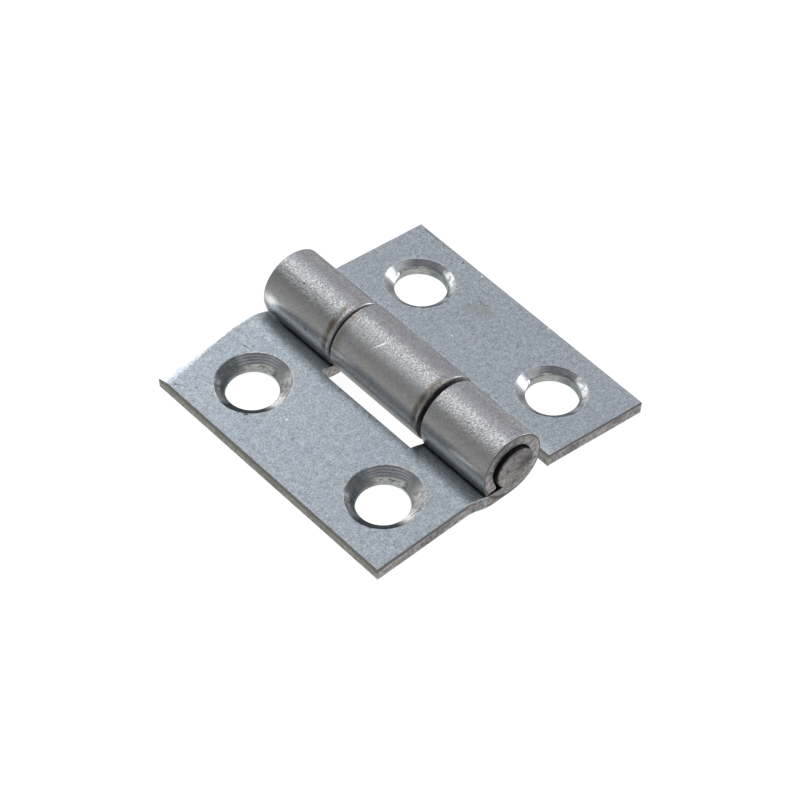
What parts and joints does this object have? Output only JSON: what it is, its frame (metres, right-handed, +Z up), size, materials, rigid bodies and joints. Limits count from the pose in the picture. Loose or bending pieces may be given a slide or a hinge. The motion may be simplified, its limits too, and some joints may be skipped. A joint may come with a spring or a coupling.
{
  "type": "narrow butt hinge",
  "caption": "Narrow butt hinge of folded zinc-plated steel sheet: two leaves with countersunk screw holes turn on a plain pin held in curled knuckles.",
  "frame": {"origin": "centre of the footprint, on the surface that the outer edges of both leaves rest on", "axes": "+X across the leaves towards the leaf with one knuckle, +Y along the pin away from the end where the pin stands out, +Z up"},
  "size_m": [0.0266, 0.0258, 0.0062],
  "materials": {
    "zinc_leaf": "bright zinc plating, satin, finely mottled",
    "pin_steel": "sheared and plated pin end, duller and browner than the leaves"
  },
  "bodies": {
    "two_knuckle_leaf": {"two_knuckle_leaf": "zinc_leaf", "hinge_pin": "pin_steel"},
    "one_knuckle_leaf": {"one_knuckle_leaf": "zinc_leaf"}
  },
  "joints": [
    {"name": "leaf_turn", "type": "hinge", "parent": "two_knuckle_leaf", "child": "one_knuckle_leaf", "pos_m": [-0.00016, 0, 0.00325], "axis": [0, 1, 0], "range_deg": [-198.4, 105]}
  ]
}
